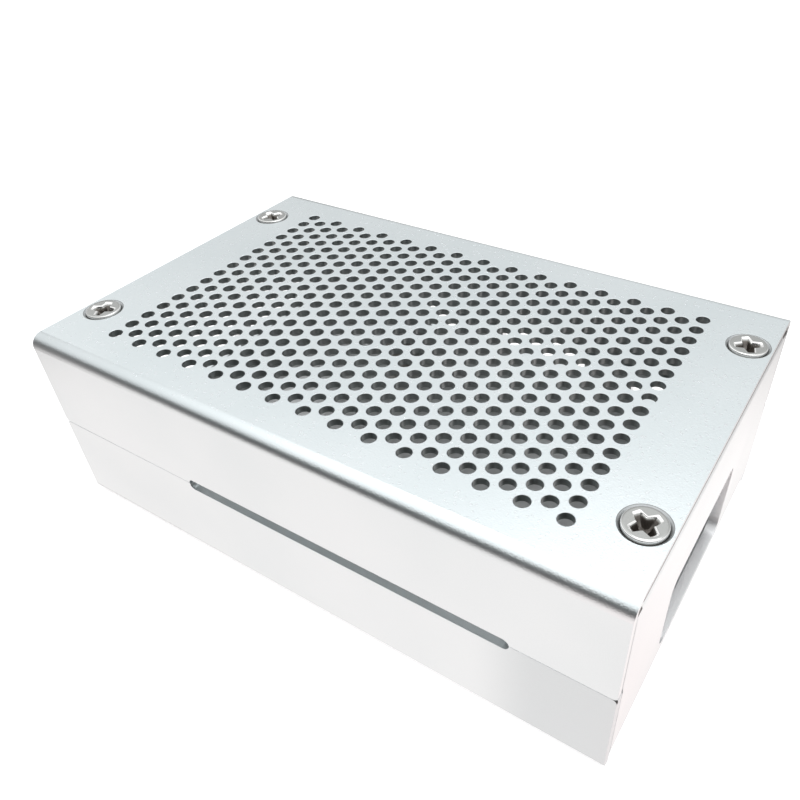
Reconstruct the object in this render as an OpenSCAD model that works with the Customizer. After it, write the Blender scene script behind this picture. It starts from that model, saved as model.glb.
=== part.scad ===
// Case for a small computer board, folded from aluminium sheet. A perforated cover with two
// long flanges is screwed down on a tray that has low side walls and two full-height end walls.
// X runs along the case, the side with the ribbon slot faces -Y, and the case stands on Z = 0.

/* [Case] */
// Length of the closed case, outside
case_length = 94; // [92:0.5:130]
// Width of the closed case, outside
case_width = 59.5; // [59:0.5:90]
// Height of the closed case, outside
case_height = 31.6; // [31:0.1:50]
// Thickness of the cover's sheet
cover_sheet = 1; // [0.8:0.1:1.2]
// Thickness of the tray's sheet
tray_sheet = 1.5; // [1:0.1:1.6]
// Outer radius of every bend
bend_radius = 2; // [1.8:0.1:2.4]

/* [Seam and fit] */
// Height of the tray's side walls, up to the seam
tray_wall_height = 15.75; // [15:0.05:20]
// Gap along the seam between the tray's side walls and the cover's flanges
seam_gap = 0.05; // [0.05:0.05:0.4]
// Gap between an end wall's upright edges and the side walls and flanges beside it
corner_gap = 0.1; // [0.05:0.05:0.3]
// Gap between the cover's plate and the lips that it lies on
seat_gap = 0.05; // [0.02:0.01:0.2]
// Radius of the corners where the seam meets the ends of the case
seam_corner_radius = 0.6; // [0.2:0.1:2]
// How much rounder an end wall's upper corners are than the cover's bends over them
corner_relief = 0.5; // [0.3:0.1:1.5]
// Radius of the small notch in an end wall's edges, just above the seam
notch_radius = 0.4; // [0.2:0.1:0.8]

/* [Perforation] */
// Diameter of one hole
hole_diameter = 2; // [1:0.1:2.5]
// Distance between neighbouring holes
hole_pitch = 3; // [2.8:0.1:6]
// Plain border between the plate's ends and the nearest holes
end_border = 9.5; // [8:0.5:20]
// Plain border between the plate's long sides and the nearest holes
side_border = 6.1; // [4:0.1:15]

/* [Cover screws] */
// Thread diameter
screw_diameter = 3; // [2.5:0.1:3.2]
// Length from the plate's surface to the tip
screw_length = 4; // [3.5:0.5:6]
// Diameter of the head
screw_head_diameter = 5.2; // [4.6:0.1:5.2]
// Depth of the head's rim below the plate's surface
screw_rim_depth = 0.15; // [0.05:0.05:0.15]
// Rise of the head's domed top above its rim
screw_dome_height = 0.4; // [0.2:0.1:0.8]
// Width across the cross recess
recess_width = 3.8; // [2:0.1:4]
// Width of one arm of the cross recess
recess_arm = 1; // [0.5:0.1:1.2]
// Depth of the cross recess below the rim
recess_depth = 1.1; // [0.6:0.1:1.4]
// Diameter of the countersink in the plate's surface
countersink_diameter = 6; // [5.8:0.1:6.2]
// Radial gap between a screw and its hole
screw_clearance = 0.05; // [0.02:0.01:0.1]
// Distance from the case's ends to the screws
screw_inset = 3.3; // [3.2:0.1:4.5]
// Distance between the two screws of one end
screw_spacing = 38; // [20:0.1:48]
// How far a lip reaches in from the case's end
lip_depth = 7.5; // [7:0.1:9]
// Outer diameter of the collar formed round a screw hole under the lip
collar_diameter = 4.2; // [3.9:0.1:4.6]
// Height of the collar under the lip
collar_height = 1; // [0.4:0.1:1.5]

/* [Board and standoffs] */
// Thickness of the board
board_thickness = 1.4; // [1:0.1:2]
// Gap between the board's card end and the end wall's inside
card_end_gap = 4.9; // [1:0.1:10]
// Gap between the board's port edge and the back wall's inside
port_edge_gap = 0.25; // [0.2:0.05:1]
// Gap between the board's front edge and the front wall's inside
front_edge_gap = 0.25; // [0.2:0.05:10]
// Distance from the board's edges to its mounting holes
mount_inset = 3.5; // [3.5:0.1:6]
// Distance between the mounting holes along the board
mount_spacing = 58; // [40:0.5:66]
// Height of the standoffs above the floor
standoff_height = 7.7; // [5:0.1:9]
// Diameter of a standoff's body
standoff_diameter = 5; // [4.5:0.1:5.5]
// Width across the flats of a standoff's foot in the floor
standoff_foot = 6; // [5.8:0.1:6.5]
// Thickness of a standoff's foot
standoff_foot_height = 0.5; // [0.3:0.1:0.7]
// Thread diameter in a standoff
standoff_thread = 2.5; // [2:0.1:3]
// Depth of a standoff's thread
standoff_thread_depth = 6; // [3:0.5:7]
// Gap between a standoff and the floor round it
standoff_clearance = 0.02; // [0.01:0.01:0.05]

/* [Ribbon slot] */
// Length of the slot
slot_length = 52.5; // [40:0.5:60]
// Height of the slot
slot_height = 1.75; // [1:0.05:3]
// How far the slot's middle lies below the seam
slot_drop = 0.1; // [0:0.05:0.4]
// Distance from the board's card end to the slot's middle
slot_from_card_end = 33; // [31:0.1:40]

/* [Card window] */
// Width of the window
window_width = 25.5; // [15:0.5:40]
// Height of the window
window_height = 13.4; // [8:0.1:18]
// Height of the window's sill above the ground
window_sill = 3.2; // [3:0.1:6]
// Radius of the window's corners
window_radius = 2.3; // [0.5:0.1:4]

/* [Side ports] */
// Distance from the board's card end to the power port
power_from_card_end = 10.3; // [10:0.1:12]
// Width of the power port
power_width = 9; // [7:0.1:11]
// Height of the power port
power_height = 4.3; // [3:0.1:4.4]
// Height of the power port's middle above the board
power_rise = 1.25; // [0.5:0.05:1.6]
// Distance from the board's card end to the video port
video_from_card_end = 31.8; // [30:0.1:33]
// Width of the video port
video_width = 16.4; // [14:0.1:18]
// Height of the video port's sill above the board
video_rise = 0.7; // [0:0.1:1.5]
// Distance from the board's card end to the audio port
audio_from_card_end = 53.5; // [50:0.1:56]
// Width of the audio port
audio_width = 6.6; // [6:0.1:8]
// Height of the audio port's axis above the board
audio_rise = 3.4; // [3:0.1:4]

/* [End sockets] */
// Drop of the socket openings' sills below the board's surface
socket_drop = 1.1; // [0.5:0.1:2]
// Distance from the board's port edge to the middle of the data sockets
data_from_edge = 38; // [37:0.1:39]
// Width of the opening for the data sockets
data_width = 32.8; // [28:0.1:34]
// Height of the opening for the data sockets
data_height = 17.5; // [14:0.1:18]
// Distance from the board's port edge to the middle of the network socket
network_from_edge = 10.25; // [10:0.05:11]
// Width of the opening for the network socket
network_width = 16.2; // [14:0.1:17]
// Height of the opening for the network socket
network_height = 14.5; // [12:0.1:17]
// Radius of the corners of ports and sockets
port_radius = 0.8; // [0.3:0.1:1.2]

/* [Hidden] */
$fn = 64;
// Length by which a cutting shape runs past the faces that it cuts
over = 1;
// Turn of the cross recess of each screw, in the order of screw_places
screw_turns = [20, 65, 52, 29];

cover_inside = case_width - 2 * cover_sheet;
tray_inside = case_width - 2 * tray_sheet;
cover_flange_height = case_height - tray_wall_height - seam_gap;
seam_height = tray_wall_height + seam_gap / 2;
end_wall_width = cover_inside - 2 * corner_gap;
end_wall_height = case_height - cover_sheet - seat_gap;
end_corner_radius = bend_radius - cover_sheet + corner_relief;

screw_x = case_length / 2 - screw_inset;
screw_places = [for (x = [-1, 1], y = [-1, 1]) [x * screw_x, y * screw_spacing / 2]];
screw_hole_radius = screw_diameter / 2 + screw_clearance;

card_end = case_length / 2 - tray_sheet - card_end_gap;
port_edge = case_width / 2 - tray_sheet - port_edge_gap;
front_edge = front_edge_gap + tray_sheet - case_width / 2;
board_top = tray_sheet + standoff_height + board_thickness;
mount_x = [card_end - mount_inset - mount_spacing, card_end - mount_inset];
mount_y = [front_edge + mount_inset, port_edge - mount_inset];

column_step = hole_pitch * sqrt(3);
columns = floor((case_length - 2 * end_border - hole_diameter) / column_step) + 1;
rows = floor((case_width - 2 * side_border - hole_diameter) / hole_pitch) + 1;

// Rectangle centred on the origin, with all four corners rounded
module rounded_rectangle(width, height, radius) {
  square([width - 2 * radius, height], center = true);
  square([width, height - 2 * radius], center = true);
  for (x = [-1, 1], y = [-1, 1])
    translate([x * (width / 2 - radius), y * (height / 2 - radius)]) circle(radius);
}

// Rectangle standing on the origin, with its two lower corners rounded
module round_footed(width, height, radius) {
  translate([-width / 2, radius]) square([width, height - radius]);
  translate([radius - width / 2, 0]) square([width - 2 * radius, radius]);
  for (side = [-1, 1]) translate([side * (width / 2 - radius), radius]) circle(radius);
}

// Rectangle from the origin towards +X and +Y, with its two far corners rounded
module round_nosed(depth, height, radius) {
  square([depth - radius, height]);
  translate([0, radius]) square([depth, height - 2 * radius]);
  for (y = [radius, height - radius]) translate([depth - radius, y]) circle(radius);
}

// Stands an outline drawn in X and Y upright, so that it lies in X and Z
module across(width) {
  rotate([90, 0, 0]) linear_extrude(width, center = true) children();
}

// Stands an outline drawn in X and Y upright, so that it lies in Y and Z
module along(length) {
  rotate([90, 0, 90]) linear_extrude(length, center = true) children();
}

// Folded channel along the case: a flat web with a wall bent up along each side
module channel(height, sheet) {
  intersection() {
    along(case_length) difference() {
      round_footed(case_width, height, bend_radius);
      translate([0, sheet]) round_footed(case_width - 2 * sheet, height, bend_radius - sheet);
    }
    across(case_width + over)
      translate([0, height]) mirror([0, 1]) round_footed(case_length, height, seam_corner_radius);
  }
}

// Slot for a ribbon cable, half in the cover's front flange and half in the tray's front wall
module ribbon_slot() {
  translate([card_end - slot_from_card_end, (tray_sheet - case_width) / 2, seam_height - slot_drop])
    across(tray_sheet + over) {
      square([slot_length - slot_height, slot_height], center = true);
      for (end = [-1, 1]) translate([end * (slot_length - slot_height) / 2, 0]) circle(d = slot_height);
    }
}

// Hole for one cover screw: a countersink in the plate that runs on into the lip's bore
module screw_hole() {
  rotate_extrude() polygon([
    [0, over],
    [countersink_diameter / 2 + over, over],
    [screw_hole_radius, screw_hole_radius - countersink_diameter / 2],
    [screw_hole_radius, -screw_length - over],
    [0, -screw_length - over]
  ]);
}

module at_screws() {
  for (place = screw_places) translate([place.x, place.y, case_height]) children();
}

// Staggered holes at equal distances, centred on the plate
module perforation() {
  for (column = [0 : 2 * columns - 2]) {
    shift = column % 2;
    x = (column / 2 - (columns - 1) / 2) * column_step;
    for (row = [0 : rows - 1 - shift]) {
      y = (row + shift / 2 - (rows - 1) / 2) * hole_pitch;
      translate([x, y, case_height - cover_sheet / 2])
        cylinder(h = cover_sheet + over, d = hole_diameter, center = true);
    }
  }
}

module top_cover() {
  color("gainsboro") difference() {
    translate([0, 0, case_height]) mirror([0, 0, 1]) channel(cover_flange_height, cover_sheet);
    perforation();
    at_screws() screw_hole();
    ribbon_slot();
  }
}

// Sheet of the end wall at +X: bent up from the floor, with its top bent in as a lip
module end_fold() {
  intersection() {
    translate([case_length / 2 - lip_depth, 0, 0]) across(end_wall_width) difference() {
      round_nosed(lip_depth, end_wall_height, bend_radius);
      translate([-over, tray_sheet])
        round_nosed(lip_depth + over - tray_sheet, end_wall_height - 2 * tray_sheet, bend_radius - tray_sheet);
      translate([-over, -over]) square([lip_depth + over - bend_radius, tray_sheet + 2 * over]);
    }
    along(case_length + over) translate([0, end_wall_height]) mirror([0, 1])
      round_footed(end_wall_width, end_wall_height, end_corner_radius);
  }
}

// Room beside the lower part of the end wall at +X, for the side walls
module side_wall_room() {
  height = tray_wall_height + corner_gap + over;
  for (side = [-1, 1])
    translate([case_length / 2, side * (tray_inside / 2 - corner_gap + over), height / 2 - over])
      cube([2 * lip_depth, 2 * over, height], center = true);
}

// End wall at +X with the collars of its screw holes and its notches above the seam
module end_wall() {
  difference() {
    union() {
      end_fold();
      for (side = [-1, 1])
        translate([screw_x, side * screw_spacing / 2, end_wall_height - tray_sheet - collar_height])
          cylinder(h = collar_height + tray_sheet / 2, d = collar_diameter);
    }
    side_wall_room();
    for (side = [-1, 1])
      translate([(case_length - tray_sheet) / 2, side * end_wall_width / 2, seam_height + notch_radius])
        rotate([0, 90, 0]) cylinder(h = tray_sheet + over, r = notch_radius, center = true);
  }
}

// Opening in an end wall: its middle across the case, its sill, and its size
module end_opening(end, middle, sill, width, height, radius) {
  translate([end * (case_length - tray_sheet) / 2, middle, sill + height / 2])
    along(tray_sheet + over) rounded_rectangle(width, height, radius);
}

// Ports of the back wall. The video and audio ports are open up to the seam.
module back_ports() {
  back = (case_width - tray_sheet) / 2;
  depth = tray_sheet + over;
  video_sill = board_top + video_rise;
  video_height = tray_wall_height + over - video_sill;
  translate([card_end - video_from_card_end, back, video_sill])
    across(depth) round_footed(video_width, video_height, port_radius);
  audio_axis = board_top + audio_rise;
  translate([card_end - audio_from_card_end, back, audio_axis]) across(depth) {
    circle(d = audio_width);
    translate([-audio_width / 2, 0]) square([audio_width, tray_wall_height + over - audio_axis]);
  }
  translate([card_end - power_from_card_end, back, board_top + power_rise])
    across(depth) rounded_rectangle(power_width, power_height, port_radius);
}

// Floor seat of one standoff: a round hole with a hexagonal pocket under it
module standoff_seat() {
  translate([0, 0, -over])
    cylinder(h = tray_sheet + 2 * over, d = standoff_diameter + 2 * standoff_clearance);
  translate([0, 0, -over])
    cylinder(h = standoff_foot_height + standoff_clearance + over,
             r = (standoff_foot / 2 + standoff_clearance) / cos(30), $fn = 6);
}

module base_tray() {
  color("silver") difference() {
    union() {
      difference() {
        channel(tray_wall_height, tray_sheet);
        for (end = [-1, 1])
          translate([end * (case_length - bend_radius) / 2, 0, 0])
            cube([bend_radius, tray_inside, 2 * bend_radius], center = true);
      }
      end_wall();
      mirror([1, 0, 0]) end_wall();
    }
    at_screws() screw_hole();
    ribbon_slot();
    back_ports();
    end_opening(1, 0, window_sill, window_width, window_height, window_radius);
    end_opening(-1, port_edge - data_from_edge, board_top - socket_drop,
                data_width, data_height, port_radius);
    end_opening(-1, port_edge - network_from_edge, board_top - socket_drop,
                network_width, network_height, port_radius);
    for (x = mount_x, y = mount_y) translate([x, y, 0]) standoff_seat();
  }
}

// Raised countersunk screw with a cross recess, its tip down and the plate's surface at Z = 0
module cover_screw() {
  head_radius = screw_head_diameter / 2;
  shank_radius = screw_diameter / 2;
  cone_radius = countersink_diameter / 2 - screw_clearance;
  dome_radius = (head_radius ^ 2 + screw_dome_height ^ 2) / (2 * screw_dome_height);
  difference() {
    union() {
      rotate_extrude() polygon([
        [0, -screw_length],
        [shank_radius, -screw_length],
        [shank_radius, shank_radius - cone_radius],
        [head_radius, head_radius - cone_radius],
        [head_radius, -screw_rim_depth],
        [0, -screw_rim_depth]
      ]);
      translate([0, 0, -screw_rim_depth]) intersection() {
        translate([0, 0, screw_dome_height - dome_radius]) sphere(dome_radius);
        cylinder(h = screw_dome_height + over, r = head_radius);
      }
    }
    intersection() {
      translate([0, 0, -screw_rim_depth]) rotate_extrude() polygon([
        [0, -recess_depth],
        [recess_arm / 2, -recess_depth],
        [recess_width / 2, screw_dome_height / 2],
        [recess_width / 2, screw_dome_height + over],
        [0, screw_dome_height + over]
      ]);
      for (turn = [0, 90]) rotate(turn)
        cube([2 * recess_width, recess_arm, 4 * recess_depth], center = true);
    }
  }
}

module cover_screws() {
  color("lightsteelblue") for (i = [0 : len(screw_places) - 1])
    translate([screw_places[i].x, screw_places[i].y, case_height])
      rotate(screw_turns[i]) cover_screw();
}

// Threaded standoff with a hexagonal foot pressed into the floor's underside
module standoff(x, y) {
  top = tray_sheet + standoff_height;
  color("lightgrey") translate([x, y, 0]) difference() {
    union() {
      cylinder(h = top, d = standoff_diameter);
      cylinder(h = standoff_foot_height, r = standoff_foot / 2 / cos(30), $fn = 6);
    }
    translate([0, 0, top - standoff_thread_depth])
      cylinder(h = standoff_thread_depth + over, d = standoff_thread);
  }
}

top_cover();
base_tray();
cover_screws();
standoff(mount_x[0], mount_y[0]);  // standoff_front_left
standoff(mount_x[1], mount_y[0]);  // standoff_front_right
standoff(mount_x[0], mount_y[1]);  // standoff_back_left
standoff(mount_x[1], mount_y[1]);  // standoff_back_right
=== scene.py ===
"""Looks of a folded aluminium case for a small computer board.

Sizes are in millimetres and become metres where a mesh is made. The case stands on Z = 0. Its
long side with the ribbon slot faces -Y, and its end with the card window faces +X.
"""
import math

import bmesh
import bpy
from mathutils import Matrix, Vector


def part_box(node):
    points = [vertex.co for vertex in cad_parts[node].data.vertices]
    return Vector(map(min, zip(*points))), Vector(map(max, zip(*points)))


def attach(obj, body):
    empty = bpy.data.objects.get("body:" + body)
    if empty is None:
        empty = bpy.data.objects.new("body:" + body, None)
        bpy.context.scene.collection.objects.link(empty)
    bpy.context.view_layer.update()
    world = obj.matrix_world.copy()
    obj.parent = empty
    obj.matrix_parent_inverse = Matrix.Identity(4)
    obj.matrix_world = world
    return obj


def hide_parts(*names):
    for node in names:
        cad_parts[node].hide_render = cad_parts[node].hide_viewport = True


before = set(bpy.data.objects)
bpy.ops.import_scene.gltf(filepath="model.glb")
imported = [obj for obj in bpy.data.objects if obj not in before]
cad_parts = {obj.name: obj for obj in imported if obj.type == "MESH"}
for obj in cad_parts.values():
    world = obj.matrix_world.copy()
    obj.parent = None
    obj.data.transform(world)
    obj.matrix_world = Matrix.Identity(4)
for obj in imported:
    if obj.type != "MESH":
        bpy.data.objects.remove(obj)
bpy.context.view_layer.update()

MM = 0.001


def node_box(name):
    """Lowest and highest corner of a CAD node, in millimetres."""
    low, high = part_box(name)
    return low / MM, high / MM


# Sizes that the frame gives
cover_low, cover_high = node_box("top_cover")
screws_high = node_box("cover_screws")[1]
case_length = cover_high.x - cover_low.x
case_width = cover_high.y - cover_low.y
case_height = cover_high.z
cover_foot = cover_low.z
end_wall_height = node_box("base_tray")[1].z
standoff_names = [f"standoff_{row}_{side}" for row in ("front", "back") for side in ("left", "right")]
standoff_boxes = [node_box(name) for name in standoff_names]
standoff_top = standoff_boxes[0][1].z

# Sheet and seam
cover_sheet = 1.0
tray_sheet = 1.5
bend_radius = 2.0
seam_gap = 0.05
corner_gap = 0.1
seam_corner_radius = 0.6
corner_relief = 0.5
notch_radius = 0.4
edge_radius = 0.03
sharp_angle = 40
tray_wall_height = cover_foot - seam_gap
seam_height = cover_foot - seam_gap / 2
cover_inside = case_width - 2 * cover_sheet
tray_inside = case_width - 2 * tray_sheet
end_wall_width = cover_inside - 2 * corner_gap
end_corner_radius = bend_radius - cover_sheet + corner_relief

# Perforation
hole_diameter = 2.0
hole_pitch = 3.0
hole_columns = 15
hole_rows = 16
hole_sides = 32
hole_rim = 0.05
column_step = hole_pitch * math.sqrt(3)

# Cover screws and the lips that hold them
screw_head_diameter = 5.2
screw_diameter = 3.0
screw_length = 4.0
screw_rim_height = -0.15
screw_dome_height = 0.36
screw_clearance = 0.05
screw_pitch = 0.5
thread_depth = 0.2
countersink_diameter = 6.0
recess_width = 3.8
recess_arm = 1.0
recess_root = 1.45
recess_depth = 1.1
screw_turns = [20, 65, 52, 29]
lip_depth = 7.5
collar_diameter = 4.2
collar_height = 1.0
screw_x = screws_high.x - screw_head_diameter / 2
screw_y = screws_high.y - screw_head_diameter / 2
screw_places = [(x * screw_x, y * screw_y, case_height) for x in (-1, 1) for y in (-1, 1)]

# Board and its standoffs
board_thickness = 1.4
card_end = case_length / 2 - tray_sheet - 4.9
port_edge = case_width / 2 - tray_sheet - 0.25
board_top = standoff_top + board_thickness
standoff_diameter = 5.0
standoff_foot = 6.0
standoff_foot_height = 0.5
standoff_thread = 2.5
standoff_thread_depth = 6.0
standoff_pitch = 0.45
standoff_clearance = 0.02
standoff_chamfer = 0.25

# Ribbon slot, card window, ports and sockets
slot_length = 52.5
slot_height = 1.75
slot_drop = 0.1
slot_from_card_end = 33.0
window_width = 25.5
window_height = 13.4
window_sill = 3.2
window_radius = 2.3
power_from_card_end = 10.3
power_width = 9.0
power_height = 4.3
power_rise = 1.25
video_from_card_end = 31.8
video_width = 16.4
video_rise = 0.7
audio_from_card_end = 53.5
audio_width = 6.6
audio_rise = 3.4
socket_drop = 1.1
data_from_edge = 38.0
data_width = 32.8
data_height = 17.5
network_from_edge = 10.25
network_width = 16.2
network_height = 14.5
port_radius = 0.8

# How far a cutting shape runs past the faces that it cuts, and where its flare ends above them
over = 1.0
flare_end = 0.02

# Points nearer than this are one
same_point = 1e-6


# Outlines and solids

def arc(centre, radius, start, end, steps):
    """Points of an arc, from one angle to another in degrees."""
    angles = [math.radians(start + (end - start) * i / steps) for i in range(steps + 1)]
    return [(centre[0] + radius * math.cos(a), centre[1] + radius * math.sin(a)) for a in angles]


def circle(radius, sides, start=0):
    """Points of a whole circle, each once."""
    return arc((0, 0), radius, start, start + 360 - 360 / sides, sides - 1)


def rounded_rectangle(width, height, radius, steps=8):
    """Outline centred on the origin. A radius of half the height gives it round ends."""
    x, y = width / 2 - radius, height / 2 - radius
    points = []
    for corner, centre in enumerate(((x, y), (-x, y), (-x, -y), (x, -y))):
        for point in arc(centre, radius, 90 * corner, 90 * corner + 90, steps):
            if not points or math.dist(point, points[-1]) > same_point:
                points.append(point)
    if math.dist(points[0], points[-1]) < same_point:
        points.pop()
    return points


def at_height(outline, z):
    """Ring of an outline at one height."""
    return [(x, y, z) for x, y in outline]


def loft(rings):
    """Closed solid through rings that have as many points each."""
    mesh = bmesh.new()
    loops = [[mesh.verts.new(point) for point in ring] for ring in rings]
    count = len(loops[0])
    for near, far in zip(loops, loops[1:]):
        for i in range(count):
            mesh.faces.new((near[i], near[(i + 1) % count], far[(i + 1) % count], far[i]))
    mesh.faces.new(loops[0][::-1])
    mesh.faces.new(loops[-1])
    bmesh.ops.recalc_face_normals(mesh, faces=mesh.faces)
    return mesh


def prism(outline, start, end):
    """Solid with an outline in X and Y, between two heights."""
    return loft([at_height(outline, start), at_height(outline, end)])


def placed(mesh, matrix):
    """The bmesh itself, moved by a matrix in millimetres."""
    mesh.transform(matrix)
    return mesh


def joined(meshes):
    """One bmesh from several."""
    whole = bmesh.new()
    for mesh in meshes:
        data = bpy.data.meshes.new("part")
        mesh.to_mesh(data)
        mesh.free()
        whole.from_mesh(data)
        bpy.data.meshes.remove(data)
    return whole


def new_object(mesh, name):
    """Blender object of a bmesh in millimetres, at the origin with its place in its mesh."""
    bmesh.ops.recalc_face_normals(mesh, faces=mesh.faces)
    bmesh.ops.scale(mesh, vec=(MM, MM, MM), verts=mesh.verts)
    data = bpy.data.meshes.new(name)
    mesh.to_mesh(data)
    mesh.free()
    made = bpy.data.objects.new(name, data)
    bpy.context.scene.collection.objects.link(made)
    return made


def round_edges(mesh, edges, radius, segments):
    """Rounds some edges of a bmesh."""
    bmesh.ops.bevel(mesh, geom=edges, offset=radius, offset_type="OFFSET", segments=segments,
                    profile=0.5, affect="EDGES", clamp_overlap=True)


def soften_edges(mesh):
    """Rounds every sharp edge a little, as deburring does, and keeps the shape's length in X."""
    reach = max(abs(vert.co.x) for vert in mesh.verts)
    sharp = [edge for edge in mesh.edges if edge.calc_face_angle(0) > math.radians(sharp_angle)]
    round_edges(mesh, sharp, edge_radius, 2)
    for vert in mesh.verts:
        vert.co.x = max(-reach, min(reach, vert.co.x))
    return mesh


# Turns that stand a flat shape upright: outline X and Y become case X and Z, or case Y and Z
UPRIGHT_ACROSS = Matrix(((1, 0, 0, 0), (0, 0, -1, 0), (0, 1, 0, 0), (0, 0, 0, 1)))
UPRIGHT_ALONG = Matrix(((0, 0, 1, 0), (1, 0, 0, 0), (0, 1, 0, 0), (0, 0, 0, 1)))


# Nodes

class Wire:
    """A node socket that formulas can use. Each operation on it adds a Math node to its tree."""

    def __init__(self, tree, socket=None):
        self.tree = tree
        self.socket = socket

    def node(self, kind, settings=None, sockets=None, output=0):
        """Output of a new node of a kind, with its settings and then its sockets' values or links."""
        made = self.tree.nodes.new(kind)
        for name, value in (settings or {}).items():
            setattr(made, name, value)
        for name, value in (sockets or {}).items():
            for item in value if isinstance(value, list) else [value]:
                if isinstance(item, Wire):
                    self.tree.links.new(item.socket, made.inputs[name])
                else:
                    made.inputs[name].default_value = item
        return Wire(self.tree, made.outputs[output] if made.outputs else None)

    def maths(self, operation, first, second=0.0):
        return self.node("ShaderNodeMath", {"operation": operation}, {0: first, 1: second})

    def __add__(self, other):
        return self.maths("ADD", self, other)

    __radd__ = __add__

    def __sub__(self, other):
        return self.maths("SUBTRACT", self, other)

    def __rsub__(self, other):
        return self.maths("SUBTRACT", other, self)

    def __mul__(self, other):
        return self.maths("MULTIPLY", self, other)

    __rmul__ = __mul__

    def __lt__(self, other):
        return self.maths("LESS_THAN", self, other)

    def __abs__(self):
        return self.maths("ABSOLUTE", self)

    def rise(self, low, high):
        """Smooth step from 0 at the low value to 1 at the high one."""
        return self.node("ShaderNodeMapRange", {"interpolation_type": "SMOOTHSTEP"},
                         {"Value": self, "From Min": low, "From Max": high})

    def mixed(self, low, high):
        """Colour between two others, by this value."""
        return self.node("ShaderNodeMix", {"data_type": "RGBA"}, {0: self, 6: low, 7: high}, 2)


def shape_tree(name, kinds):
    """Geometry Nodes tree with named inputs.

    Gives a wire to build from, and a function that gives the wire of an input by its name.
    """
    tree = bpy.data.node_groups.new(name, "GeometryNodeTree")
    tree.interface.new_socket("Geometry", in_out="OUTPUT", socket_type="NodeSocketGeometry")
    for label, kind in {"Geometry": "Geometry", **kinds, "Finish": "Material"}.items():
        tree.interface.new_socket(label, in_out="INPUT", socket_type=f"NodeSocket{kind}")
    entry = tree.nodes.new("NodeGroupInput")
    return Wire(tree), lambda label: Wire(tree, entry.outputs[label])


def object_shape(start, holder):
    """Mesh of an object that is an input of a tree."""
    return start.node("GeometryNodeObjectInfo", None, {"Object": holder}, "Geometry")


def end_tree(start, shape, finish):
    """Realizes a shape, shades its curved faces smooth, gives it the finish and ends the tree."""
    flat_face = 0.9985
    normal = start.node("GeometryNodeInputNormal")
    tilt = start.node("ShaderNodeVectorMath", {"operation": "ABSOLUTE"}, {0: normal})
    axes = [start.node("ShaderNodeSeparateXYZ", None, {0: tilt}, axis) for axis in range(3)]
    steepest = start.maths("MAXIMUM", start.maths("MAXIMUM", axes[0], axes[1]), axes[2])
    angle = start.node("GeometryNodeInputMeshEdgeAngle")
    realized = start.node("GeometryNodeRealizeInstances", None, {"Geometry": shape})
    faces = start.node("GeometryNodeSetShadeSmooth", {"domain": "FACE"},
                       {"Geometry": realized, "Shade Smooth": steepest < flat_face})
    edges = start.node("GeometryNodeSetShadeSmooth", {"domain": "EDGE"},
                       {"Geometry": faces, "Shade Smooth": angle < math.radians(sharp_angle)})
    done = start.node("GeometryNodeSetMaterial", None, {"Geometry": edges, "Material": finish})
    start.node("NodeGroupOutput", {"is_active_output": True}, {"Geometry": done})


def cutting_tree(name, patterns):
    """Tree that cuts single openings, and grids of one shape for each pattern, out of a sheet."""
    kinds = {"Openings": "Object"}
    for pattern in patterns:
        kinds |= {f"{pattern} shape": "Object", f"{pattern} columns": "Int", f"{pattern} rows": "Int",
                  f"{pattern} width": "Float", f"{pattern} depth": "Float", f"{pattern} middle": "Vector"}
    start, given = shape_tree(name, kinds)
    cutters = [object_shape(start, given("Openings"))]
    for pattern in patterns:
        grid = start.node("GeometryNodeMeshGrid", None, {
            "Size X": given(f"{pattern} width"), "Size Y": given(f"{pattern} depth"),
            "Vertices X": given(f"{pattern} columns"), "Vertices Y": given(f"{pattern} rows")})
        spots = start.node("GeometryNodeTransform", None,
                           {"Geometry": grid, "Translation": given(f"{pattern} middle")})
        shape = object_shape(start, given(f"{pattern} shape"))
        cutters.append(start.node("GeometryNodeInstanceOnPoints", None,
                                  {"Points": spots, "Instance": shape}))
    together = start.node("GeometryNodeJoinGeometry", None, {"Geometry": cutters})
    realized = start.node("GeometryNodeRealizeInstances", None, {"Geometry": together})
    cut = start.node("GeometryNodeMeshBoolean", {"operation": "DIFFERENCE", "solver": "MANIFOLD"},
                     {"Mesh 1": given("Geometry"), "Mesh 2": realized})
    end_tree(start, cut, given("Finish"))
    return start.tree


def repeating_tree(name):
    """Tree that puts one shape on each point of a mesh, turned by the point's own turn."""
    start, given = shape_tree(name, {"Shape": "Object"})
    turn = start.node("GeometryNodeInputNamedAttribute", {"data_type": "FLOAT"}, {"Name": "turn"})
    rotation = start.node("ShaderNodeCombineXYZ", None, {"Z": turn})
    spread = start.node("GeometryNodeInstanceOnPoints", None, {
        "Points": given("Geometry"), "Instance": object_shape(start, given("Shape")), "Rotation": rotation})
    end_tree(start, spread, given("Finish"))
    return start.tree


def keep_result(piece):
    """Makes the result of a piece's modifiers its plain mesh, and removes the modifiers."""
    graph = bpy.context.evaluated_depsgraph_get()
    result = bpy.data.meshes.new_from_object(piece.evaluated_get(graph))
    piece.modifiers.clear()
    piece.data = result
    result.name = piece.name


def settle(piece, tree, values):
    """Runs a tree on a piece with values for its inputs, and keeps the result as a plain mesh."""
    modifier = piece.modifiers.new(tree.name, "NODES")
    modifier.node_group = tree
    identifiers = {item.name: item.identifier for item in tree.interface.items_tree
                   if item.in_out == "INPUT"}
    for label, value in values.items():
        modifier[identifiers[label]] = value
    keep_result(piece)


def combine(base, other, operation):
    """Adds another object's solid to a base or takes it away, and removes the other object."""
    modifier = base.modifiers.new(operation, "BOOLEAN")
    modifier.operation = operation
    modifier.solver = "MANIFOLD"
    modifier.object = other
    keep_result(base)
    bpy.data.objects.remove(other)


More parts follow.
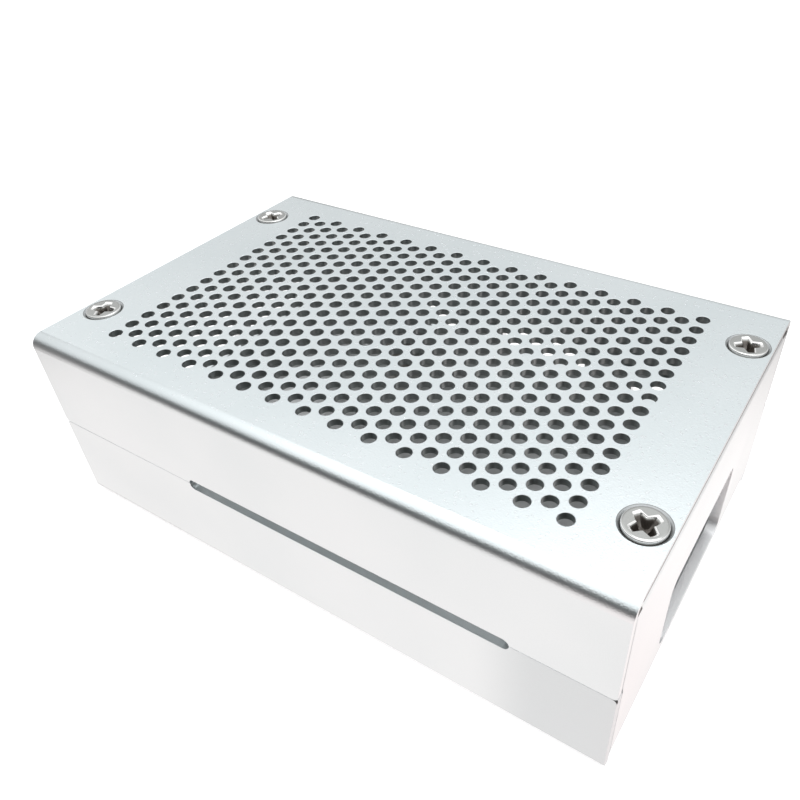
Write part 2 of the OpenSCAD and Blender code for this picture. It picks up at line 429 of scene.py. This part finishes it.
# Colours of the sheets
ANODISED_DARK = (0.69, 0.75, 0.765, 1.0)
ANODISED_LIGHT = (0.75, 0.80, 0.815, 1.0)
# Painted glints: near-white grains on the plate's top that stand in for sparkle
GLINT_GRAIN = (0.98, 0.99, 1.0, 1.0)
# Painted shade on the hole walls and the plate's underside
SHADED_HOLE_WALL = (0.36, 0.385, 0.385, 1.0)
# Painted shade in the countersinks round the screw heads
SHADED_COUNTERSINK = (0.5, 0.52, 0.53, 1.0)
# Painted shade: a thin dark ring at the top edge of each countersink
COUNTERSINK_BRINK_SHADE = (0.3, 0.31, 0.31, 1.0)
SHEARED_END = (0.72, 0.74, 0.75, 1.0)
# Painted shadow of the gap under the plate's ends, on the lower part of their cut faces
END_GAP_SHADOW = (0.25, 0.25, 0.25, 1.0)
# Painted shade on the tray's floor and walls within the case
SHADED_TRAY_INSIDE = (0.7, 0.715, 0.72, 1.0)
# Painted shade on the card end of the front wall
FRONT_END_SHADE = (0.655, 0.705, 0.72, 1.0)
# Painted light on the sill and the floor seen through the card window
WINDOW_PAINTED_LIGHT = (0.95, 0.96, 0.97, 1.0)
# Painted shade in the gaps at the seam corners and beside the end walls' rounded corners
GAP_SHADE = (0.1, 0.1, 0.1, 1.0)

# Colours of the plated steel: its surface, painted shade for its low places and a painted highlight on its
# upper edges
SCREW_TONE = (0.45, 0.46, 0.45, 1.0)
# Painted shade for the screws' cross recess and the sides of their heads
SCREW_PAINTED_SHADE = (0.14, 0.127, 0.115, 1.0)
STANDOFF_TONE = (0.72, 0.72, 0.71, 1.0)
# Painted shade for the standoffs below their tops
STANDOFF_PAINTED_SHADE = (0.42, 0.40, 0.37, 1.0)
# Painted highlight on the upper edges of the screw heads and their recess lips
EDGE_HIGHLIGHT = (0.93, 0.93, 0.92, 1.0)

# Mean roughness and how far it varies, and patterns as repeats to the metre
SHEET_ROUGHNESS = 0.32
STEEL_ROUGHNESS = 0.2
ROUGHNESS_SPREAD = 0.12
BLAST_GRAIN = 5200.0
BLAST_CELLS = 3600.0
TONE_CLOUDS = 42.0
PLATING_GRAIN = 2600.0

# How far a mark reaches past the face that it is on
near_face = 0.02
past_face = 0.05


# Finishes

def new_finish(name, roughness):
    """Metal material with its main shader, and a wire to build from."""
    finish = bpy.data.materials.new(name)
    finish.use_nodes = True
    shader = finish.node_tree.nodes["Principled BSDF"]
    shader.inputs["Metallic"].default_value = 1.0
    shader.inputs["Roughness"].default_value = roughness
    return finish, shader, Wire(finish.node_tree)


def feed(shader, **sources):
    """Links wires to the sockets of a shader."""
    for label, wire in sources.items():
        wire.tree.links.new(wire.socket, shader.inputs[label.replace("_", " ")])


def noise(start, place, scale, detail=2.0):
    """Value of a noise pattern at a place."""
    return start.node("ShaderNodeTexNoise", None, {"Vector": place, "Scale": scale, "Detail": detail}, "Fac")


def place_in_millimetres(start):
    """Wire of a surface's place in metres, and wires of its X, Y and height in millimetres."""
    place = start.node("ShaderNodeTexCoord", output="Object")
    return place, *[start.node("ShaderNodeSeparateXYZ", None, {0: place}, axis) * (1 / MM)
                    for axis in range(3)]


def blasted_aluminium(name, marks):
    """Fine blasted and anodised sheet with faint clouds of tone and, on the plate, a few bright grains that
    are painted glints.

    The marks are made from a place's X, Y and height in millimetres: shares of the surface that have
    a colour of their own, such as cut edges, or painted shade under the plate and in the tray, or painted
    light.
    """
    finish, shader, start = new_finish(name, SHEET_ROUGHNESS)
    place, x, y, height = place_in_millimetres(start)
    grain = noise(start, place, BLAST_GRAIN, 3.0)
    clouds = noise(start, place, TONE_CLOUDS)
    cells = start.node("ShaderNodeTexVoronoi", {"feature": "F1"},
                       {"Vector": place, "Scale": BLAST_CELLS}, "Color")
    chance = start.node("ShaderNodeSeparateColor", None, {"Color": cells}, "Red")
    # Painted glints: bright grains at random, on the top of the plate only
    glint_speck = chance.rise(0.92, 1.0) * height.rise(case_height - 0.3, case_height - 0.1)
    light = clouds.rise(0.25, 0.75) * 0.75 + grain.rise(0.2, 0.8) * 0.25
    colour = (glint_speck * 0.25).mixed(light.mixed(ANODISED_DARK, ANODISED_LIGHT), GLINT_GRAIN)
    roughness = SHEET_ROUGHNESS + (grain - 0.5) * ROUGHNESS_SPREAD - glint_speck * 0.1
    for share, tone in marks(x, y, height):
        colour = share.mixed(colour, tone)
        roughness = roughness + share * ROUGHNESS_SPREAD
    bump = start.node("ShaderNodeBump", None, {"Strength": 0.8, "Distance": 0.03 * MM,
                                               "Height": grain + glint_speck * 0.4})
    feed(shader, Base_Color=colour, Roughness=roughness, Normal=bump)
    return finish


def from_screw_axis(x, y):
    """Distance of a place from the nearest cover screw's axis, from its X and Y in millimetres."""
    along, across = abs(x) - screw_x, abs(y) - screw_y
    return along.maths("SQRT", along * along + across * across)


def cover_marks(x, y, height):
    """Painted shade under the plate, in the holes and in the countersinks, with a painted dark ring round
    each countersink, and the plate's sheared ends with a painted shadow on their lower part.
    """
    margin = 4
    unshaded_share = 0.6
    brink_width = 0.06
    just_sunk = 0.004
    plate_foot = case_height - cover_sheet
    holes = (abs(x) < screw_x - margin) * (abs(y) < case_width / 2 - margin)
    holes = holes * (height < case_height - hole_rim - edge_radius)
    under = (abs(y) < cover_inside / 2 + past_face) * (height < plate_foot + near_face)
    plate = (abs(y) < case_width / 2 - bend_radius) * (1 - (height < plate_foot))
    ends = (1 - (abs(x) < case_length / 2 - edge_radius)) * plate
    # Painted shadow: the lower part of each cut end face of the plate is darkened
    gap_shadow = ends * (height < case_height - unshaded_share * cover_sheet)
    # Painted shade: the hole walls and the plate's underside are darkened where shade falls
    hole_and_underside_shade = holes.maths("MAXIMUM", holes, under)
    axis_distance = from_screw_axis(x, y)
    mouth = countersink_diameter / 2
    # Painted shade: the countersink round each screw head is darkened
    countersink_shade = (axis_distance < mouth + brink_width) * (height < case_height - just_sunk)
    # Painted shade: a thin dark ring at the top edge of each countersink
    brink_shade = countersink_shade * (1 - (axis_distance < mouth - brink_width))
    return [(hole_and_underside_shade, SHADED_HOLE_WALL), (countersink_shade, SHADED_COUNTERSINK), (brink_shade, COUNTERSINK_BRINK_SHADE),
            (ends, SHEARED_END), (gap_shadow, END_GAP_SHADOW)]


def tray_marks(x, y, height):
    """Painted shade within the tray, in the gaps at the corners and on the card end of the front wall,
    and painted light in the card window.
    """
    end, side = case_length / 2, case_width / 2
    grey_start, grey_end = 28.0, 38.0
    gap_depth = 0.4
    inner_fade = 0.3
    floor_skin = tray_sheet - 2 * past_face
    # Painted shade: the tray's surfaces within the case are darker
    tray_inside_shade = (abs(x) < end - tray_sheet + past_face) * (abs(y) < tray_inside / 2 + past_face)
    tray_inside_shade = tray_inside_shade * height.rise(floor_skin, tray_sheet - near_face)
    # Painted shade: the front wall grows darker towards its card end
    front_end_shade = x.rise(grey_start, grey_end) * (y < -tray_inside / 2 - past_face)
    # Painted light: the card window's sill and the floor just behind it are brightened
    window = (abs(y) < window_width / 2 + near_face) * (height < window_sill + window_height + near_face)
    window = window * (1 - (height < floor_skin)) * (x < end - near_face)
    window = window * x.rise(end - 2 * tray_sheet, end - tray_sheet - inner_fade)
    # Painted shade: the gaps at the seam corners and beside the end walls' rounded corners are near black
    seam_corner = (1 - (abs(x) < end - seam_corner_radius)) * (height < tray_wall_height + near_face)
    seam_corner = seam_corner * (1 - (height < tray_wall_height - seam_corner_radius))
    seam_corner = seam_corner * (y < gap_depth - side) * (abs(y) < side - near_face)
    fold_gap = (1 - (abs(y) < end_wall_width / 2 - end_corner_radius)) * (abs(x) < end - edge_radius)
    fold_gap = fold_gap * (1 - (height < end_wall_height - end_corner_radius))
    gaps = seam_corner.maths("MAXIMUM", seam_corner, fold_gap)
    return [(tray_inside_shade, SHADED_TRAY_INSIDE), (front_end_shade, FRONT_END_SHADE), (window, WINDOW_PAINTED_LIGHT), (gaps, GAP_SHADE)]


def plated_steel(name, tone, shade, low, high, top):
    """Plated steel with a fine grain, with painted shade, dark and browner, below a low height, and a
    painted highlight on its upper edges.
    """
    finish, shader, start = new_finish(name, STEEL_ROUGHNESS)
    place = start.node("ShaderNodeTexCoord", output="Object")
    height = start.node("ShaderNodeSeparateXYZ", None, {0: place}, 2)
    fine = noise(start, place, PLATING_GRAIN, 3.0)
    # Painted shade: darker and browner below a low height, as in the cross recess
    low_shade = 1 - height.rise(low * MM, high * MM)
    # Painted highlight: a near-white band on the upper edges, just under the top
    edge_highlight = height.rise(high * MM, (high + 0.04) * MM)
    edge_highlight = edge_highlight * (1 - height.rise((top - 0.05) * MM, (top - 0.02) * MM))
    colour = (low_shade * 0.95 + (fine - 0.5) * 0.2).mixed(tone, shade)
    colour = edge_highlight.mixed(colour, EDGE_HIGHLIGHT)
    roughness = STEEL_ROUGHNESS + low_shade * 0.15 + (fine - 0.5) * ROUGHNESS_SPREAD
    bump = start.node("ShaderNodeBump", None, {"Strength": 0.15, "Distance": 0.02 * MM, "Height": fine})
    feed(shader, Base_Color=colour, Roughness=roughness, Normal=bump)
    return finish


cover_finish = blasted_aluminium("cover_sheet", cover_marks)
tray_finish = blasted_aluminium("tray_sheet", tray_marks)
screw_finish = plated_steel("screw_steel", SCREW_TONE, SCREW_PAINTED_SHADE,
                            case_height - 0.33, case_height - 0.02, screws_high.z)
standoff_finish = plated_steel("standoff_steel", STANDOFF_TONE, STANDOFF_PAINTED_SHADE,
                               standoff_top - 0.55, standoff_top - 0.18, standoff_top)


# Shapes that cut the sheets

def flared_plug(width, height, radius, depth, rim):
    """Solid that cuts an opening through a sheet and breaks its two edges by a small rim."""
    face, flare = depth / 2, rim + flare_end
    profile = [(face + over, flare), (face + flare_end, flare), (face - rim, 0)]
    profile += [(-z, grow) for z, grow in profile[::-1]]
    return loft([at_height(rounded_rectangle(width + 2 * grow, height + 2 * grow, radius + grow), z)
                 for z, grow in profile])


def perforation():
    """Solid that cuts one hole of the plate and breaks its upper edge, with the plate's surface at Z = 0."""
    radius = hole_diameter / 2
    flare = radius + hole_rim + flare_end
    profile = [(flare, over), (flare, flare_end), (radius, -hole_rim), (radius, -cover_sheet - over)]
    return loft([at_height(circle(size, hole_sides), z) for size, z in profile])


def screw_hole():
    """Solid that cuts a countersink and the bore under it, with the plate's surface at Z = 0."""
    bore = screw_diameter / 2 + screw_clearance
    mouth, flare = countersink_diameter / 2, 0.05
    profile = [(mouth + 2 * flare, over), (mouth + flare, flare_end), (mouth - edge_radius, -edge_radius),
               (bore, bore - mouth), (bore, -screw_length - over)]
    return loft([at_height(circle(radius, 64), z) for radius, z in profile])


def standoff_seat():
    """Solid that cuts a standoff's round hole and the six-sided pocket under it out of the floor."""
    pocket = hexagon(standoff_foot + 2 * standoff_clearance)
    hole = circle(standoff_diameter / 2 + standoff_clearance, 48)
    shoulder = standoff_foot_height + standoff_clearance
    return loft([at_height(pocket, -over), at_height(pocket, shoulder),
                 at_height(hole, shoulder), at_height(hole, tray_sheet + over)])


def hexagon(width, steps=8):
    """Outline with two corners on the X axis and a width across its flats."""
    corners = circle(width / 2 / math.cos(math.radians(30)), 6)
    points = []
    for i, (x, y) in enumerate(corners):
        next_x, next_y = corners[(i + 1) % 6]
        points += [(x + (next_x - x) * k / steps, y + (next_y - y) * k / steps) for k in range(steps)]
    return points


def long_side_opening(side, x, low, high, width, radius, sheet=tray_sheet):
    """Solid that cuts an opening in a sheet at the front, side -1, or at the back, side 1."""
    plug = flared_plug(width, high - low, radius, sheet, edge_radius)
    middle = (x, side * (case_width - sheet) / 2, (low + high) / 2)
    return placed(plug, Matrix.Translation(middle) @ UPRIGHT_ACROSS)


def end_opening(end, y, sill, width, height, radius):
    """Solid that cuts an opening in the end wall at -X, end -1, or at +X, end 1."""
    plug = flared_plug(width, height, radius, tray_sheet, edge_radius)
    middle = (end * (case_length - tray_sheet) / 2, y, sill + height / 2)
    return placed(plug, Matrix.Translation(middle) @ UPRIGHT_ALONG)


def ribbon_slot(sheet):
    """Solid that cuts a sheet's share of the ribbon slot, which lies across the seam."""
    middle = seam_height - slot_drop
    return long_side_opening(-1, card_end - slot_from_card_end, middle - slot_height / 2,
                             middle + slot_height / 2, slot_length, slot_height / 2, sheet)


def fold_corner(end, side):
    """Solid that rounds one upper corner of an end wall and of its lip."""
    middle = end_wall_width / 2 - end_corner_radius
    reach, top = end_wall_width / 2 + over, end_wall_height + over
    outline = arc((middle, end_wall_height - end_corner_radius), end_corner_radius, -5, 95, 10)
    outline += [(outline[-1][0], top), (reach, top), (reach, outline[0][1])]
    cutter = prism([(side * y, z) for y, z in outline],
                   case_length / 2 - lip_depth - over, case_length / 2 + over)
    return placed(cutter, Matrix.Diagonal((end, 1, 1, 1)) @ UPRIGHT_ALONG)


def seam_notch(end, side):
    """Solid that cuts the small round notch in an end wall's upright edge above the seam."""
    notch = prism(circle(notch_radius, 24), -tray_sheet, tray_sheet)
    middle = (end * (case_length - tray_sheet) / 2, side * end_wall_width / 2, seam_height + notch_radius)
    return placed(notch, Matrix.Translation(middle) @ UPRIGHT_ALONG)


def side_wall_room(end, side):
    """Solid that makes room beside the lower part of an end wall for a side wall."""
    outline = [(-lip_depth, -over), (lip_depth, -over), (lip_depth, over), (-lip_depth, over)]
    middle = (end * case_length / 2, side * (tray_inside / 2 - corner_gap + over), 0)
    return placed(prism(outline, -over, tray_wall_height + corner_gap), Matrix.Translation(middle))


# Folded sheets

def channel(height, sheet):
    """Folded channel along X with its web at Z = 0 and its two walls standing up."""
    half, inner = case_width / 2, case_width / 2 - sheet
    inner_radius = bend_radius - sheet
    outline = [(-half, height)]
    outline += arc((bend_radius - half, bend_radius), bend_radius, 180, 270, 12)
    outline += arc((half - bend_radius, bend_radius), bend_radius, 270, 360, 12)
    outline += [(half, height), (inner, height)]
    outline += arc((inner - inner_radius, bend_radius), inner_radius, 0, -90, 8)
    outline += arc((inner_radius - inner, bend_radius), inner_radius, -90, -180, 8)
    outline += [(-inner, height)]
    mesh = placed(prism(outline, -case_length / 2, case_length / 2), UPRIGHT_ALONG)
    near = 100 * same_point
    corners = [edge for edge in mesh.edges
               if all(abs(vert.co.z - height) < near for vert in edge.verts)
               and abs(edge.verts[0].co.x - edge.verts[1].co.x) < near]
    round_edges(mesh, corners, seam_corner_radius, 5)
    return soften_edges(mesh)


def end_fold():
    """Sheet of the end wall at +X, bent up from the floor, with its top bent in as a lip."""
    outer, top = case_length / 2, end_wall_height
    bend_start = outer - bend_radius
    inner_radius = bend_radius - tray_sheet
    outline = [(outer - lip_depth, top)]
    outline += arc((bend_start, top - bend_radius), bend_radius, 90, 0, 12)
    outline += arc((bend_start, bend_radius), bend_radius, 0, -90, 12)
    outline += [(bend_start - over, 0), (bend_start - over, tray_sheet)]
    outline += arc((bend_start, bend_radius), inner_radius, -90, 0, 8)
    outline += arc((bend_start, top - bend_radius), inner_radius, 0, 90, 8)
    outline += [(outer - lip_depth, top - tray_sheet)]
    fold = placed(prism(outline, -end_wall_width / 2, end_wall_width / 2), UPRIGHT_ACROSS)
    return soften_edges(fold)


def grid_values(name, shape, columns, rows, width, depth, middle):
    """Values of one grid of a cutting tree, in metres."""
    return {f"{name} shape": shape, f"{name} columns": columns, f"{name} rows": rows,
            f"{name} width": width * MM, f"{name} depth": depth * MM,
            f"{name} middle": tuple(value * MM for value in middle)}


def cut_sheet(piece, openings, patterns, finish):
    """Cuts the openings and the grids of holes out of a folded sheet, and keeps a plain mesh."""
    cutters = [new_object(joined(openings), "openings")]
    values = {"Openings": cutters[0], "Finish": finish}
    for name, (shape, *grid) in patterns.items():
        cutters.append(new_object(shape, name))
        values |= grid_values(name, cutters[-1], *grid)
    settle(piece, cutting_tree(f"{piece.name} cuts", list(patterns)), values)
    for cutter in cutters:
        bpy.data.objects.remove(cutter)


def make_cover():
    """Perforated plate with its two long flanges."""
    blank = channel(case_height - cover_foot, cover_sheet)
    turned = placed(blank, Matrix.Translation((0, 0, case_height)) @ Matrix.Diagonal((1, 1, -1, 1)))
    cover = new_object(turned, "perforated_cover")
    surface = (0, 0, case_height)
    columns, rows = hole_columns - 1, hole_rows - 1
    cut_sheet(cover, [ribbon_slot(cover_sheet)], {
        "Main holes": (perforation(), hole_columns, hole_rows,
                       columns * column_step, rows * hole_pitch, surface),
        "Holes between": (perforation(), columns, rows,
                          (columns - 1) * column_step, (rows - 1) * hole_pitch, surface),
        "Screw holes": (screw_hole(), 2, 2, 2 * screw_x, 2 * screw_y, surface),
    }, cover_finish)
    return cover


def make_tray():
    """Floor with two low side walls and two full-height end walls whose tops are bent in as lips."""
    tray = new_object(channel(tray_wall_height, tray_sheet), "folded_tray")
    gaps = []
    folds = []
    rooms = []
    collars = []
    gap_corner = 0.05
    for end in (-1, 1):
        gap = prism(rounded_rectangle(bend_radius + over, tray_inside, gap_corner, 2), -over, bend_radius)
        gaps.append(placed(gap, Matrix.Translation((end * (case_length - bend_radius + over) / 2, 0, 0))))
        folds.append(placed(end_fold(), Matrix.Diagonal((end, 1, 1, 1))))
        for side in (-1, 1):
            rooms.append(side_wall_room(end, side))
            collar = prism(circle(collar_diameter / 2, 48), -collar_height, tray_sheet / 2)
            spot = (end * screw_x, side * screw_y, end_wall_height - tray_sheet)
            collars.append(placed(collar, Matrix.Translation(spot)))
    combine(tray, new_object(joined(gaps), "gaps"), "DIFFERENCE")
    end_walls = new_object(joined(folds), "end walls")
    combine(end_walls, new_object(joined(rooms), "rooms"), "DIFFERENCE")
    combine(tray, end_walls, "UNION")
    combine(tray, new_object(joined(collars), "collars"), "UNION")

    video_x = card_end - video_from_card_end
    audio_x = card_end - audio_from_card_end
    power_x = card_end - power_from_card_end
    audio_low = board_top + audio_rise - audio_width / 2
    power_low = board_top + power_rise - power_height / 2
    above = tray_wall_height + 2 * audio_width
    sill = board_top - socket_drop
    openings = [
        ribbon_slot(tray_sheet),
        long_side_opening(1, video_x, board_top + video_rise, above, video_width, port_radius),
        long_side_opening(1, audio_x, audio_low, above, audio_width, audio_width / 2),
        long_side_opening(1, power_x, power_low, power_low + power_height, power_width, port_radius),
        end_opening(1, 0, window_sill, window_width, window_height, window_radius),
        end_opening(-1, port_edge - data_from_edge, sill, data_width, data_height, port_radius),
        end_opening(-1, port_edge - network_from_edge, sill, network_width, network_height, port_radius),
    ]
    for end in (-1, 1):
        for side in (-1, 1):
            openings += [fold_corner(end, side), seam_notch(end, side)]
    low, high = standoff_middle(0), standoff_middle(3)
    cut_sheet(tray, openings, {
        "Screw holes": (screw_hole(), 2, 2, 2 * screw_x, 2 * screw_y, (0, 0, case_height)),
        "Standoff seats": (standoff_seat(), 2, 2, high.x - low.x, high.y - low.y,
                           ((low.x + high.x) / 2, (low.y + high.y) / 2, 0)),
    }, tray_finish)
    return tray


# Screws and standoffs

def standoff_middle(index):
    """Middle of a standoff's box, in millimetres."""
    low, high = standoff_boxes[index]
    return (low + high) / 2


def thread_rings(start, end, root, crest, pitch, sides, first_angle=0):
    """Rings of a thread from one height down to another, between two radii."""
    turn_steps = 6
    steps = round((start - end) / pitch * turn_steps)
    rings = []
    for step in range(steps + 1):
        z = start + (end - start) * step / steps
        fade = min(1, 2 * step / turn_steps, 2 * (steps - step) / turn_steps)
        ring = []
        for i in range(sides):
            phase = (z / pitch + i / sides) % 1
            radius = root + (crest - root) * fade * (1 - abs(2 * phase - 1))
            angle = math.radians(first_angle) + 2 * math.pi * i / sides
            ring.append((radius * math.cos(angle), radius * math.sin(angle), z))
        rings.append(ring)
    return rings


def cross_outline(width, arm, root):
    """Cross whose arms widen from their ends to their roots, ten points to an arm, from its first root."""
    half, reach, inner = arm / 2, width / 2, root / 2
    cut = 0.2 * half
    side = [(inner + (reach - cut - inner) * i / 3, inner + (half - inner) * i / 3) for i in range(4)]
    tip = [(reach, cut - half), (reach, 0), (reach, half - cut)]
    points = [(x, -y) for x, y in side] + tip + side[:0:-1]
    whole = []
    for quarter in range(4):
        turn = Matrix.Rotation(quarter * math.pi / 2, 2)
        whole += [tuple(turn @ Vector(point)) for point in points]
    return whole


def cover_screw():
    """Countersunk screw with a cross recess and a flat raised head, with the plate's surface at Z = 0."""
    head, shank = screw_head_diameter / 2, screw_diameter / 2
    cone = countersink_diameter / 2 - screw_clearance
    sides, first_angle = 40, -45
    flatness = 60

    def dome(outline, drop=0.0):
        """Ring on the head's nearly flat top, or some way below it."""
        top = screw_rim_height + screw_dome_height - drop
        return [(x, y, top - screw_dome_height * (math.hypot(x, y) / head) ** flatness) for x, y in outline]

    def disc(radius):
        """Circle with its first point where the cross has its first root."""
        return circle(radius, sides, first_angle)

    def half_way(one, other):
        """Outline half-way between two others."""
        return [((a + c) / 2, (b + d) / 2) for (a, b), (c, d) in zip(one, other)]

    def cross(share, grow=0.0):
        """Outline of the recess, scaled and then grown."""
        return cross_outline(*[size * share + grow for size in (recess_width, recess_arm, recess_root)])

    root = shank - thread_depth
    lip = cross(1.0, 0.14)
    shoulder = disc(head - 0.35)
    rim_insets = (0.13, 0.07, 0.035)
    rings = [
        at_height(cross(0.4), screw_rim_height - recess_depth),
        at_height(cross(0.7), screw_rim_height - recess_depth * 0.5),
        dome(cross(0.88), 0.16),
        dome(cross(0.97, 0.06), 0.06),
        dome(lip),
        dome(half_way(lip, shoulder)),
        dome(shoulder),
        *[dome(disc(head - inset)) for inset in rim_insets],
        at_height(disc(head - 0.02), screw_rim_height - 0.04),
        at_height(disc(head), screw_rim_height - 0.12),
        at_height(disc(head), head - cone),
        at_height(disc(root), shank - cone - 0.15),
    ]
    thread_start, thread_end = shank - cone - 0.25, 0.25 - screw_length
    rings += thread_rings(thread_start, thread_end, root, shank, screw_pitch, sides, first_angle)
    rings.append(at_height(disc(root - thread_depth), -screw_length))
    return loft(rings)


def standoff():
    """Threaded standoff with a six-sided foot, standing on Z = 0."""
    sides = 48
    body, bore = standoff_diameter / 2, standoff_thread / 2
    crest = bore - thread_depth
    bottom, top = standoff_top - standoff_thread_depth, standoff_top
    foot = hexagon(standoff_foot)
    rings = [
        at_height(hexagon(standoff_foot - 0.2), 0),
        at_height(foot, 0.06),
        at_height(foot, standoff_foot_height),
        at_height(circle(body, sides), standoff_foot_height),
        at_height(circle(body, sides), top - standoff_chamfer),
        at_height(circle(body - 0.08, sides), top - 0.06),
        at_height(circle(body - standoff_chamfer, sides), top),
        at_height(circle(bore + thread_depth, sides), top),
    ]
    rings += thread_rings(top - standoff_chamfer, bottom + 0.7, bore, crest, standoff_pitch, sides)
    rings += [at_height(circle(crest, sides), bottom + 0.5), at_height(circle(0.2, sides), bottom)]
    return loft(rings)


def repeated(name, shape, places, turns, finish):
    """One piece with a copy of a shape at each place, turned about its own axis."""
    points = bmesh.new()
    for place in places:
        points.verts.new(place)
    piece = new_object(points, name)
    turn = piece.data.attributes.new("turn", "FLOAT", "POINT")
    turn.data.foreach_set("value", [math.radians(angle) for angle in turns])
    template = new_object(shape, f"{name}_shape")
    settle(piece, repeating_tree(f"{name} places"), {"Shape": template, "Finish": finish})
    bpy.data.objects.remove(template)
    return piece


cover = make_cover()
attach(cover, "root")
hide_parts("top_cover")

tray = make_tray()
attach(tray, "root")
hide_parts("base_tray")

screws = repeated("cover_screw_set", cover_screw(), screw_places, screw_turns, screw_finish)
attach(screws, "root")
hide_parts("cover_screws")

standoff_places = [(standoff_middle(i).x, standoff_middle(i).y, 0) for i in range(4)]
standoffs = repeated("board_standoffs", standoff(), standoff_places, [0] * 4, standoff_finish)
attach(standoffs, "root")
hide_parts(*standoff_names)


# Stage

WHITE = (1.0, 1.0, 1.0, 1.0)
PALE_FLOOR = (0.6, 0.6, 0.6, 1.0)
FLOOR_GLOW = 0.62
MIRRORED_FLOOR = (1.0, 0.932, 0.915, 1.0)
MIRRORED_CORNER = (1.0, 0.885, 0.87, 1.0)


def seen_rays(start):
    """Whether a ray comes from the camera, a mirror or glass, and whether it comes from the camera."""
    camera, glossy, through = [start.node("ShaderNodeLightPath", output=label)
                               for label in ("Is Camera Ray", "Is Glossy Ray", "Is Transmission Ray")]
    return start.maths("MAXIMUM", start.maths("MAXIMUM", camera, glossy), through), camera


def make_floor():
    """Wide pale floor that shows white, with the soft shadow of the case.

    The sheets mirror it brightest close to the case, and a little warmer.
    """
    reach = 2500
    mesh = bmesh.new()
    corners = ((-reach, -reach), (reach, -reach), (reach, reach), (-reach, reach))
    mesh.faces.new([mesh.verts.new((x, y, 0)) for x, y in corners])
    floor = new_object(mesh, "floor")
    finish = bpy.data.materials.new("floor")
    finish.use_nodes = True
    start = Wire(finish.node_tree)
    finish.node_tree.nodes.clear()
    seen, camera_ray = seen_rays(start)
    glow = start.node("ShaderNodeEmission", None, {"Color": WHITE, "Strength": FLOOR_GLOW})
    place = start.node("ShaderNodeTexCoord", output="Object")
    x, y = [start.node("ShaderNodeSeparateXYZ", None, {0: place}, axis) for axis in (0, 1)]
    ahead = y + 30 * MM
    away = start.maths("SQRT", x * x + ahead * ahead)
    front = 1 - y.rise(-25 * MM, 15 * MM)
    card_end_glow = x.rise(46 * MM, 56 * MM) * (0.2 - front * 0.08)
    mirrored = 1.23 + card_end_glow - away.rise(75 * MM, 180 * MM) * 0.95
    tint = (x.rise(44 * MM, 52 * MM) * front).mixed(MIRRORED_FLOOR, MIRRORED_CORNER)
    mirror_glow = start.node("ShaderNodeEmission", None, {"Color": tint, "Strength": mirrored})
    pale = start.node("ShaderNodeBsdfDiffuse", None, {"Color": PALE_FLOOR})
    shown = start.node("ShaderNodeAddShader", None, {0: glow, 1: pale})
    looked_at = start.node("ShaderNodeMixShader", None, {0: camera_ray, 1: mirror_glow, 2: shown})
    surface = start.node("ShaderNodeMixShader", None, {0: seen, 1: pale, 2: looked_at})
    start.node("ShaderNodeOutputMaterial", None, {"Surface": surface})
    floor.data.materials.append(finish)


def make_world():
    """White for the camera. Other rays meet a bright studio ceiling and a dark room in front."""
    world = bpy.data.worlds.new("studio")
    world.use_nodes = True
    bpy.context.scene.world = world
    start = Wire(world.node_tree)
    world.node_tree.nodes.clear()
    way = start.node("ShaderNodeTexCoord", output="Generated")
    ahead, up = [start.node("ShaderNodeSeparateXYZ", None, {0: way}, axis) for axis in (1, 2)]
    overhead = up.rise(0.4, 0.9) * 0.5
    nearer = (1 - ahead.rise(0.3, 0.6)) * 0.2
    ceiling = 0.77 + overhead + nearer
    room = 1 - (up + ahead * 0.78).rise(-0.22, 0.1)
    camera_ray = start.node("ShaderNodeLightPath", output="Is Camera Ray")
    strength = camera_ray + (1 - camera_ray) * ceiling * (1 - room * 0.92)
    sky = start.node("ShaderNodeBackground", None, {"Color": WHITE, "Strength": strength})
    start.node("ShaderNodeOutputWorld", None, {"Surface": sky})


def add_lamp(name, place, size, power, tint):
    """Soft square lamp that points at the case."""
    data = bpy.data.lights.new(name, "AREA")
    data.size = size * MM
    data.energy = power
    data.color = tint
    lamp = bpy.data.objects.new(name, data)
    bpy.context.scene.collection.objects.link(lamp)
    lamp.location = [value * MM for value in place]
    lamp.rotation_euler = (-lamp.location).to_track_quat("-Z", "Y").to_euler()


def make_camera():
    """Camera of the photograph: its place, its turn, and a lens that is shifted by the picture's crop."""
    data = bpy.data.cameras.new("camera")
    data.sensor_width = 36.0
    data.sensor_fit = "HORIZONTAL"
    data.lens = 33.43
    data.shift_x = -0.0561
    data.shift_y = 0.0351
    data.clip_start = 5 * MM
    camera = bpy.data.objects.new("camera", data)
    bpy.context.scene.collection.objects.link(camera)
    camera.location = (56.321 * MM, -73.277 * MM, 89.508 * MM)
    camera.rotation_euler = [math.radians(angle) for angle in (49.9463, 2.0961, 32.6566)]
    bpy.context.scene.camera = camera


make_floor()
make_world()
add_lamp("softbox", place=(60, 150, 620), size=320, power=0.68, tint=(0.97, 0.985, 1.0))
make_camera()
bpy.context.scene.view_settings.view_transform = "Standard"
